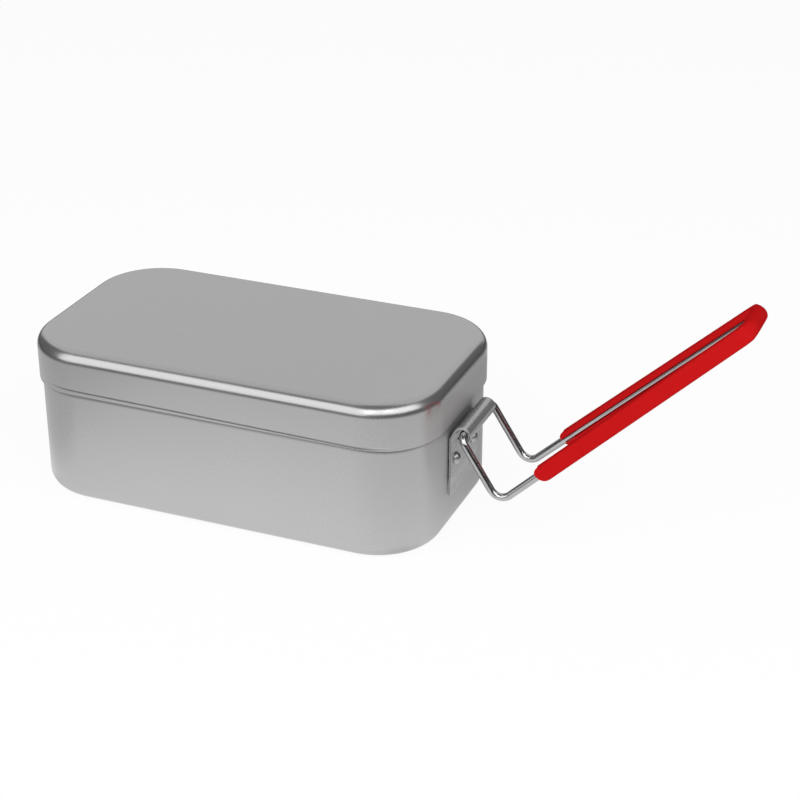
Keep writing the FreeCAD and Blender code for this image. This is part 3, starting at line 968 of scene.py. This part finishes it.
@dataclass
class Handle:
    """Steel hairpin with a red moulded channel round its closed end."""

    wire: float = 3.0 * MM
    wire_end_round: float = 0.3 * MM
    wire_end_angle: float = 60.0
    width: float = 33.6 * MM
    tip_width: float = 18.7 * MM
    reach: float = 120.6 * MM
    leg_length: float = 29.0 * MM
    leg_drop: float = math.radians(57.26)
    grip_rise: float = math.radians(43.5)
    pin_space: float = 6.0 * MM
    pin_radius: float = 3.2 * MM
    leg_radius: float = 4.7 * MM
    tip_radius: float = 4.5 * MM
    grip_height: float = 6.45 * MM
    grip_sink: float = 0.13 * MM
    grip_start: float = 20.6 * MM
    grip_outer: float = 2.6 * MM
    grip_inner: float = 2.0 * MM
    grip_slot: float = 2.2 * MM
    grip_wall: float = 0.95 * MM
    grip_edge: float = 1.0 * MM
    grip_rim_round: float = 0.25 * MM
    nose_share: float = 0.97
    end_round: float = 2.2 * MM
    end_length: float = 6.0 * MM
    end_rows: int = 10
    edge_steps: int = 6
    face_cuts: int = 9
    wire_steps: int = 32
    bend_steps: int = 18

    def lower_corner(self) -> Vector:
        """Corner between legs and arms, seen from the side."""
        leg = Vector((math.cos(self.leg_drop), 0, -math.sin(self.leg_drop)))
        return hinge_axis() + leg * self.leg_length

    def along(self) -> Vector:
        """Direction from the lower corner to the closed end."""
        return Vector((math.cos(self.grip_rise), 0, math.sin(self.grip_rise)))

    def build_wire(self, material: bpy.types.Material) -> bpy.types.Object:
        """Makes the hairpin.

        Args:
            material: Its finish.

        Returns:
            The piece.
        """
        side = Vector((0, 1, 0))
        tip = self.lower_corner() + self.along() * self.reach
        places = [
            (hinge_axis(), self.pin_space / 2),
            (hinge_axis(), self.width / 2),
            (self.lower_corner(), self.width / 2),
            (tip, self.tip_width / 2),
        ]
        front = [place - side * out for place, out in places]
        rear = [place + side * out for place, out in reversed(places)]
        radii = [self.pin_radius, self.leg_radius, self.tip_radius]

        bm = bmesh.new()
        upright = Matrix.Translation(front[0]) @ Matrix.Rotation(math.pi / 2, 4, "X")
        bmesh.ops.create_circle(bm, segments=self.wire_steps, radius=self.wire / 2, matrix=upright)
        Sweep(bm, bm.edges[:]).follow(front + rear, radii + radii[::-1], self.bend_steps)
        bmesh.ops.remove_doubles(bm, verts=bm.verts, dist=MERGE)
        bmesh.ops.holes_fill(bm, edges=[edge for edge in bm.edges if edge.is_boundary], sides=0)
        bmesh.ops.recalc_face_normals(bm, faces=bm.faces)
        seat = Seat("bail_wire", Body.HANDLE, "wire_steel")
        piece = settle("handle_wire", bm, seat, material)
        soften(piece, self.wire_end_round, self.wire_end_angle)
        return piece

    def channel_section(self, bm: bmesh.types.BMesh) -> list[bmesh.types.BMEdge]:
        """Draws the channel's outline at the middle of the closed end, open at its slot.

        Args:
            bm: Mesh in the grip's own plane, X along the grip.

        Returns:
            Edges of the outline.
        """
        top = self.grip_height / 2 - self.grip_sink
        foot = top - self.grip_height
        outer = self.reach + self.grip_outer
        inner = self.reach - self.grip_inner
        outline = [
            (inner, self.grip_slot / 2),
            (inner, top),
            (outer, top),
            (outer, foot),
            (inner, foot),
            (inner, -self.grip_slot / 2),
        ]
        corners = [bm.verts.new((x, 0, z)) for x, z in outline]
        for pair in zip(corners, corners[1:]):
            bm.edges.new(pair)
        round_off(bm, corners[1:-1], Rounded.CORNERS, self.grip_edge, self.edge_steps)
        faces = [edge for edge in bm.edges if edge.calc_length() > self.grip_edge]
        bmesh.ops.subdivide_edges(bm, edges=faces, cuts=self.face_cuts)
        return bm.edges[:]

    def end_bow(self, height: float) -> float:
        """How far an end of the moulding lies back: a small round above, a larger one below.

        Args:
            height: Height in the grip's own plane.

        Returns:
            Distance from the foremost point of the end.
        """
        top = self.grip_height / 2 - self.grip_sink
        level = top - self.end_round
        radius = self.end_round if height > level else self.grip_height - self.end_round
        return radius - math.sqrt(max(radius**2 - (height - level) ** 2, 0.0))

    def build_grip(self, material: bpy.types.Material) -> bpy.types.Object:
        """Makes the moulded channel.

        Args:
            material: Its finish.

        Returns:
            The piece.
        """
        splay = math.atan2((self.width - self.tip_width) / 2, self.reach)
        arm = Vector((-math.cos(splay), -math.sin(splay), 0))
        corner = Vector((self.reach, -self.tip_width / 2, 0))
        arm_length = (self.reach - self.grip_start) / math.cos(splay)
        arm_end = corner + arm * (arm_length - self.end_length)

        bm = bmesh.new()
        sweep = Sweep(bm, self.channel_section(bm))
        middle = Vector((self.reach, 0, 0))
        sweep.follow([middle, corner, arm_end], [self.tip_radius], self.bend_steps)
        half = self.grip_height / 2
        for _ in range(self.end_rows):
            sweep.run(arm * self.end_length / self.end_rows)
            for point in sweep.corners():
                point.co -= arm * self.end_bow(point.co.z) / self.end_rows
        shoulder = self.reach + self.grip_outer - half
        for point in bm.verts:
            if point.co.x > shoulder:
                height = (point.co.z + self.grip_sink) / half
                nose = math.sqrt(1.0 - height**2 * self.nose_share)
                point.co.x = shoulder + (point.co.x - shoulder) * nose
        bmesh.ops.mirror(bm, geom=everything(bm), matrix=Matrix(), merge_dist=MERGE, axis="Y")
        bmesh.ops.remove_doubles(bm, verts=bm.verts, dist=MERGE)
        bmesh.ops.recalc_face_normals(bm, faces=bm.faces)
        place = Matrix.Translation(self.lower_corner()) @ Matrix.Rotation(-self.grip_rise, 4, "Y")
        bmesh.ops.transform(bm, matrix=place, verts=bm.verts)
        seat = Seat("grip_sleeve", Body.HANDLE, "red_plastic")
        piece = settle("handle_grip", bm, seat, material)
        thicken(piece, self.grip_wall, Wall.INWARDS)
        soften(piece, self.grip_rim_round)
        return piece


@dataclass
class Camera:
    """Camera at the photograph's viewing angle."""

    lens: float = 88.25
    sensor: float = 36.0
    near: float = 0.01
    azimuth: float = math.radians(22.167)
    elevation: float = math.radians(26.375)
    place: Spot = (314.44 * MM, -628.15 * MM, 381.90 * MM)

    def build(self) -> None:
        """Adds the camera and makes it the scene's own."""
        data = bpy.data.cameras.new("camera")
        data.lens = self.lens
        data.sensor_width = self.sensor
        data.sensor_fit = "HORIZONTAL"
        data.clip_start = self.near
        camera = bpy.data.objects.new("camera", data)
        camera.location = self.place
        camera.rotation_euler = (math.pi / 2 - self.elevation, 0.0, self.azimuth)
        bpy.context.scene.collection.objects.link(camera)
        bpy.context.scene.camera = camera


@dataclass(frozen=True)
class Softbox:
    """Rectangular lamp that looks at the middle of the tin."""

    name: str
    place: Spot
    length: float
    height: float
    radiance: float
    aim: Spot = (0.0, 0.0, 40 * MM)

    def build(self) -> None:
        """Adds the lamp, which the camera itself doesn't see."""
        data = bpy.data.lights.new(self.name, "AREA")
        data.shape = "RECTANGLE"
        data.size = self.length
        data.size_y = self.height
        data.energy = self.radiance * math.pi * self.length * self.height
        lamp = bpy.data.objects.new(self.name, data)
        lamp.location = self.place
        sight = Vector(self.aim) - Vector(self.place)
        lamp.rotation_euler = sight.to_track_quat("-Z", "Y").to_euler()
        lamp.visible_camera = False
        bpy.context.scene.collection.objects.link(lamp)


@dataclass
class Studio:
    """White floor, a bright panel behind the tin, softboxes before it and a dim sky all round.

    The ranges of the floor are in metres. Those of the sky, and the panel's own sizes, are parts
    of a direction of length 1.
    """

    floor_size: float = 5.0
    floor_drop: float = 0.05 * MM
    floor_white: float = 0.95
    floor_glow: float = 0.92
    floor_mirror: float = 0.85
    floor_fade: Range = (0.45, 0.17)
    near_glow: float = 0.24
    near_fade: Range = (0.17, 0.06)
    # Painted dimming of the floor's glow in metal, in a patch behind the hinge end.
    dark_patch_depth: float = 0.42
    dark_patch_along: Range = (75 * MM, 92 * MM)
    dark_patch_across: Range = (-25 * MM, 35 * MM)
    # Painted dimming of that glow to the left of the tin.
    left_depth: float = 0.22
    left_along: Range = (-82 * MM, -120 * MM)
    # Painted shadow in that glow where the tin stands.
    painted_shadow_depth: float = 0.25
    painted_shadow_along: Range = (88 * MM, 74 * MM)
    painted_shadow_across: Range = (50 * MM, 36 * MM)
    fill: float = 0.4
    shadow_side: float = 0.12
    camera_shade: float = 0.75
    camera_turn: Range = (-0.3, -0.7)
    panel_level: float = 0.77
    panel_turn: Range = (0.0, 0.2)
    panel_half_width: float = 0.56
    panel_top: float = 0.965
    panel_blur: float = 0.02
    softboxes: tuple[Softbox, ...] = (
        Softbox("left", (-0.4, -0.919, 0.706), length=1.47, height=1.15, radiance=1.5),
        Softbox("right", (0.862, -0.339, 0.803), length=0.98, height=0.85, radiance=1.8),
        Softbox("upper", (0.391, -0.839, 0.803), length=0.73, height=0.85, radiance=1.65),
    )

    def build(self, azimuth: float) -> None:
        """Adds sky, floor and lamps.

        Args:
            azimuth: Direction of the camera in radians, whose far side the panel stands on.
        """
        self.build_world(azimuth)
        self.build_floor()
        for softbox in self.softboxes:
            softbox.build()

    @staticmethod
    def rays(graph: Graph) -> tuple[Value, Value]:
        """Tells rays apart.

        Args:
            graph: Tree of the sky or the floor.

        Returns:
            1 for a ray that comes straight or through glass from the camera, else 0, and 1 for
            a ray that metal mirrors, else 0.
        """
        seen = graph.add("ShaderNodeLightPath", output="Is Camera Ray")
        clear = graph.add("ShaderNodeLightPath", output="Is Transmission Ray")
        glossy = graph.add("ShaderNodeLightPath", output="Is Glossy Ray")
        return seen + clear, glossy

    @staticmethod
    def heading(graph: Graph, axis: Spot) -> Value:
        """Part of a ray's direction along an axis.

        Args:
            graph: Tree of the sky.
            axis: Direction of length 1.

        Returns:
            The part, from -1 to 1.
        """
        direction = graph.add("ShaderNodeTexCoord", output="Generated")
        settings = {"operation": "DOT_PRODUCT"}
        return graph.add("ShaderNodeVectorMath", settings, {0: direction, 1: axis}, output="Value")

    def under(self, part: Value, limit: float) -> Value:
        """1 under a limit and 0 over it, with the panel's soft edge between."""
        return part.ease(limit + self.panel_blur, limit - self.panel_blur)

    def build_world(self, azimuth: float) -> None:
        """Makes the sky: white to the camera, dim as a light, and panelled where metal mirrors it.

        Args:
            azimuth: Direction of the camera in radians, whose far side the panel stands on.
        """
        world = bpy.data.worlds.new("studio")
        world.use_nodes = True
        world.cycles.sampling_method = "NONE"
        bpy.context.scene.world = world
        graph = Graph(world.node_tree)
        across = self.heading(graph, (math.cos(azimuth), math.sin(azimuth), 0.0))
        away = self.heading(graph, (-math.sin(azimuth), math.cos(azimuth), 0.0))
        up = self.heading(graph, (0.0, 0.0, 1.0))
        panel = away.ease(*self.panel_turn) * self.under(up, self.panel_top)
        panel = panel * self.under(abs(across), self.panel_half_width)
        dark = away.ease(*self.camera_turn) * self.camera_shade
        mirrored = panel * (self.panel_level - self.shadow_side) + self.shadow_side * (1.0 - dark)
        direct, glossy = self.rays(graph)
        level = direct + glossy * mirrored + (1.0 - direct - glossy) * self.fill
        sky = graph.add("ShaderNodeBackground", {}, {"Color": WHITE, "Strength": level})
        graph.add("ShaderNodeOutputWorld", {}, {"Surface": sky})

    def mirrored_floor(self, graph: Graph) -> Value:
        """How bright the floor looks in metal.

        It is brightest by the tin and fades out with the distance. Painted dimming darkens it in a
        patch behind the hinge end and to the left of the tin, and a painted shadow darkens it where
        the tin stands.

        Args:
            graph: Tree of the floor's material.

        Returns:
            Strength of the glow.
        """
        spot = graph.place()
        length = {"operation": "LENGTH"}
        distance = graph.add("ShaderNodeVectorMath", length, {0: spot}, output="Value")
        along = graph.part(spot, "X")
        across = graph.part(spot, "Y")
        # Painted dimming in patches and a painted shadow under the tin, in the glow that only metal
        # sees.
        dark_patch = along.ease(*self.dark_patch_along) * across.ease(*self.dark_patch_across) * self.dark_patch_depth
        left = along.ease(*self.left_along) * self.left_depth
        painted_shadow = abs(along).ease(*self.painted_shadow_along) * abs(across).ease(*self.painted_shadow_across)
        paper = self.floor_mirror * distance.ease(*self.floor_fade)
        paper = paper + distance.ease(*self.near_fade) * self.near_glow
        return paper * (1.0 - dark_patch - left) * (1.0 - painted_shadow * self.painted_shadow_depth)

    def floor_material(self) -> bpy.types.Material:
        """Makes the floor's material, which shows white and keeps the tin's shadow.

        Returns:
            The material.
        """
        material = bpy.data.materials.new("floor")
        material.use_nodes = True
        material.cycles.emission_sampling = "NONE"
        graph = Graph(material.node_tree)
        white = rgba((self.floor_white,) * 3)
        matt = graph.add("ShaderNodeBsdfDiffuse", {}, {"Color": white})
        direct, glossy = self.rays(graph)
        level = direct + glossy * self.mirrored_floor(graph)
        glow = graph.add("ShaderNodeEmission", {}, {"Color": WHITE, "Strength": level})
        share = (direct + glossy) * self.floor_glow
        mixed = graph.add("ShaderNodeMixShader", {}, {0: share, 1: matt, 2: glow})
        graph.add("ShaderNodeOutputMaterial", {}, {"Surface": mixed})
        return material

    def build_floor(self) -> None:
        """Adds the floor, a hair below the tin."""
        bm = bmesh.new()
        ground = Matrix.Translation((0.0, 0.0, -self.floor_drop))
        bmesh.ops.create_grid(bm, x_segments=1, y_segments=1, size=self.floor_size, matrix=ground)
        mesh = bpy.data.meshes.new("floor")
        bm.to_mesh(mesh)
        bm.free()
        mesh.materials.append(self.floor_material())
        floor = bpy.data.objects.new("floor", mesh)
        bpy.context.scene.collection.objects.link(floor)


def main() -> None:
    """Builds the tin piece by piece, then the studio round it."""
    logging.basicConfig(level=logging.INFO, format="%(name)s: %(message)s")
    bpy.context.scene.view_settings.view_transform = "Standard"

    pan = Pan(
        "pan_shell", Seat("pan", Body.PAN, "aluminium"), Mouth.UP,
        corner_radius=25.8 * MM, edge_radius=6.0 * MM,
    )
    lid = Lid(
        "lid_shell", Seat("lid", Body.LID, "aluminium"), Mouth.DOWN,
        corner_radius=27.0 * MM, edge_radius=5.0 * MM,
    )
    hinge = Hinge()
    handle = Handle()

    roll = hinge.roll_axis()
    aluminium = SatinSheet("aluminium").material()
    steel = RolledSteel(
        "bracket_steel", colour=(0.45, 0.45, 0.454), roughness=0.27, metallic=0.78,
        bore_x=roll.x, bore_z=roll.z,
    ).material()
    rivet_metal = BrightMetal(
        "rivet_aluminium", colour=(0.48, 0.48, 0.484), roughness=0.28
    ).material()
    chrome = BrightMetal("wire_steel", colour=(0.5, 0.5, 0.505), roughness=0.13).material()
    red = MouldedRed("red_plastic").material()

    pieces = [
        pan.build(aluminium),
        lid.build(aluminium),
        hinge.build_strip(steel),
        hinge.build_rivet("rivet_front", rivet_metal),
        hinge.build_rivet("rivet_rear", rivet_metal),
        handle.build_wire(chrome),
        handle.build_grip(red),
    ]
    for piece in pieces:
        LOG.info("built %s with %d faces", piece.name, len(piece.data.polygons))

    camera = Camera()
    camera.build()
    Studio().build(camera.azimuth)


if __name__ == "__main__":
    main()
